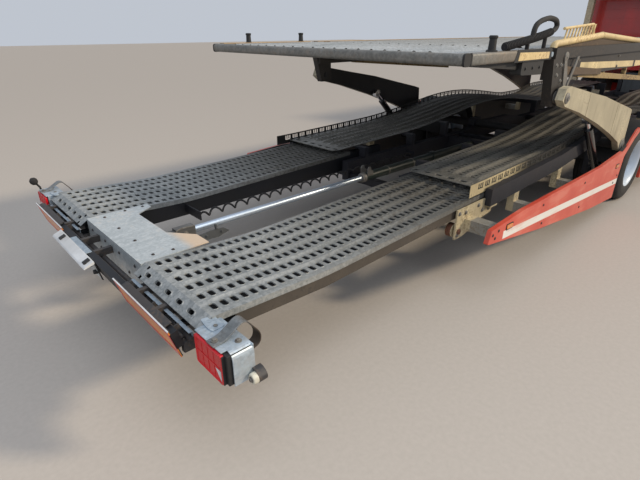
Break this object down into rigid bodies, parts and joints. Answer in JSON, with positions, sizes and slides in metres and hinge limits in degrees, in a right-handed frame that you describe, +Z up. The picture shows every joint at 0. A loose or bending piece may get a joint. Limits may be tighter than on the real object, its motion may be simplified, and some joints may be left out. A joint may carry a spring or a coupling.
{
  "type": "car transporter truck",
  "caption": "Rigid car transporter truck with a slide-out perforated rear deck, a lifting upper deck and a tilting deck over its cab.",
  "frame": {"origin": "on the ground, under the middle of the truck's bounding box, rear deck drawn out", "axes": "+X towards the cab, +Y to the truck's left, +Z up"},
  "size_m": [11.6, 2.55, 2.582],
  "materials": {
    "galvanised": "hot-dip galvanised, weathered matt grey with brown stains",
    "dark_steel": "dark blue-black paint, worn matt",
    "frame_grey": "grey painted tube, satin",
    "frame_yellow": "ochre painted beam, satin",
    "cab_red": "coral red paint, gloss",
    "skirt_red": "faded coral red paint, satin",
    "black_plastic": "moulded black plastic",
    "tyre": "black rubber",
    "rim_silver": "bright wheel",
    "chrome_rod": "hard chrome, polished",
    "cylinder": "green-black paint",
    "lamp_red": "moulded red lens",
    "lamp_clear": "clear lens over a bright reflector",
    "board": "retroreflecting amber sheet with a red border",
    "holder_white": "white plastic",
    "roller": "cream plastic roller in a black bracket",
    "glass": "tinted glass",
    "trim": "dark cloth and plastic",
    "engine_grey": "cast iron"
  },
  "bodies": {
    "chassis": {"chassis_frame": "dark_steel", "deck_bearers": "dark_steel", "lower_deck": "galvanised", "side_skirts": "skirt_red", "rear_mudguards": "black_plastic", "rear_axle": "dark_steel", "front_axle": "dark_steel", "front_posts": "galvanised", "slide_ram_barrel": "cylinder", "side_tanks": "black_plastic", "engine_block": "engine_grey", "cab_shell": "cab_red", "windscreen": "glass", "front_panel": "black_plastic", "front_bumper": "black_plastic", "headlamps": "lamp_clear", "cab_steps": "black_plastic", "cab_interior": "trim", "outriggers": "galvanised", "coil_cable": "black_plastic"},
    "slide_deck": {"extension_frame": "dark_steel", "extension_tracks": "galvanised", "centre_plate": "galvanised", "lamp_boxes": "galvanised", "tail_lamps": "lamp_red", "tail_hoops": "galvanised", "tail_rollers": "roller", "marking_boards": "board", "plate_holder": "holder_white", "slide_ram_rod": "chrome_rod"},
    "rear_arms": {"lift_arms_rear": "galvanised"},
    "front_arms": {"lift_arms_front": "galvanised"},
    "upper_deck": {"upper_deck": "galvanised", "upper_frame": "frame_yellow"},
    "tail_flap": {"tail_deck": "galvanised", "tail_frame": "frame_grey"},
    "lift_barrels": {"lift_barrels": "cylinder"},
    "lift_rods": {"lift_rods": "chrome_rod"},
    "cab_deck": {"cab_deck": "galvanised", "cab_deck_frame": "galvanised"},
    "knuckle_left": {"knuckle_left": "dark_steel"},
    "knuckle_right": {"knuckle_right": "dark_steel"},
    "front_wheel_left": {"front_tyre_left": "tyre", "front_rim_left": "rim_silver"},
    "front_wheel_right": {"front_tyre_right": "tyre", "front_rim_right": "rim_silver"},
    "rear_wheels_left": {"rear_tyres_left": "tyre", "rear_rims_left": "rim_silver"},
    "rear_wheels_right": {"rear_tyres_right": "tyre", "rear_rims_right": "rim_silver"},
    "door_left": {"door_left": "cab_red"},
    "door_right": {"door_right": "cab_red"}
  },
  "joints": [
    {"name": "deck_slide", "type": "slide", "parent": "chassis", "child": "slide_deck", "axis": [1, 0, 0], "range_m": [0, 1.45], "deforming": ["coil_cable"]},
    {"name": "arm_lift", "type": "hinge", "parent": "chassis", "child": "rear_arms", "pos_m": [-1.288, 0, 0.64], "axis": [0, 1, 0], "range_deg": [0, 45]},
    {"name": "front_arm_swing", "type": "hinge", "parent": "chassis", "child": "front_arms", "pos_m": [2.012, 0, 0.64], "axis": [0, 1, 0], "range_deg": [0, 45]},
    {"name": "deck_level", "type": "hinge", "parent": "rear_arms", "child": "upper_deck", "pos_m": [-2.978, 0, 1.22], "axis": [0, 1, 0], "range_deg": [-45, 0]},
    {"name": "tail_flap_tilt", "type": "hinge", "parent": "upper_deck", "child": "tail_flap", "pos_m": [-3.148, 0, 1.49], "axis": [0, 1, 0], "range_deg": [-12, 0]},
    {"name": "lift_barrel_swing", "type": "hinge", "parent": "chassis", "child": "lift_barrels", "pos_m": [-1.538, 0, 0.42], "axis": [0, 1, 0], "range_deg": [0, 41.12]},
    {"name": "lift_rod_slide", "type": "slide", "parent": "lift_barrels", "child": "lift_rods", "axis": [-0.7372, 0, 0.6757], "range_m": [0, 0.247]},
    {"name": "cab_deck_tilt", "type": "hinge", "parent": "chassis", "child": "cab_deck", "pos_m": [3.732, 0, 2.45], "axis": [0, 1, 0], "range_deg": [-8, 0]},
    {"name": "steer_left", "type": "hinge", "parent": "chassis", "child": "knuckle_left", "pos_m": [4.502, 0.82, 0.384], "axis": [0, 0, 1], "range_deg": [-35, 35]},
    {"name": "steer_right", "type": "hinge", "parent": "chassis", "child": "knuckle_right", "pos_m": [4.502, -0.82, 0.384], "axis": [0, 0, 1], "range_deg": [-35, 35]},
    {"name": "front_spin_left", "type": "hinge", "parent": "knuckle_left", "child": "front_wheel_left", "pos_m": [4.502, 0, 0.384], "axis": [0, 1, 0], "continuous": true},
    {"name": "front_spin_right", "type": "hinge", "parent": "knuckle_right", "child": "front_wheel_right", "pos_m": [4.502, 0, 0.384], "axis": [0, 1, 0], "continuous": true},
    {"name": "rear_spin_left", "type": "hinge", "parent": "chassis", "child": "rear_wheels_left", "pos_m": [-0.848, 0, 0.384], "axis": [0, 1, 0], "continuous": true},
    {"name": "rear_spin_right", "type": "hinge", "parent": "chassis", "child": "rear_wheels_right", "pos_m": [-0.848, 0, 0.384], "axis": [0, 1, 0], "continuous": true},
    {"name": "door_swing_left", "type": "hinge", "parent": "chassis", "child": "door_left", "pos_m": [5.602, 1.158, 1.5], "axis": [0, 0, 1], "range_deg": [-70, 0]},
    {"name": "door_swing_right", "type": "hinge", "parent": "chassis", "child": "door_right", "pos_m": [5.602, -1.158, 1.5], "axis": [0, 0, 1], "range_deg": [0, 70]}
  ],
  "couplings": [
    {"joint": "front_arm_swing", "follows": "arm_lift", "ratio": 1},
    {"joint": "deck_level", "follows": "arm_lift", "ratio": -1},
    {"joint": "lift_barrel_swing", "follows": "arm_lift", "ratio": 0.91378},
    {"joint": "lift_rod_slide", "follows": "arm_lift", "m_per_rad": 0.31449},
    {"joint": "steer_right", "follows": "steer_left", "ratio": 1}
  ]
}
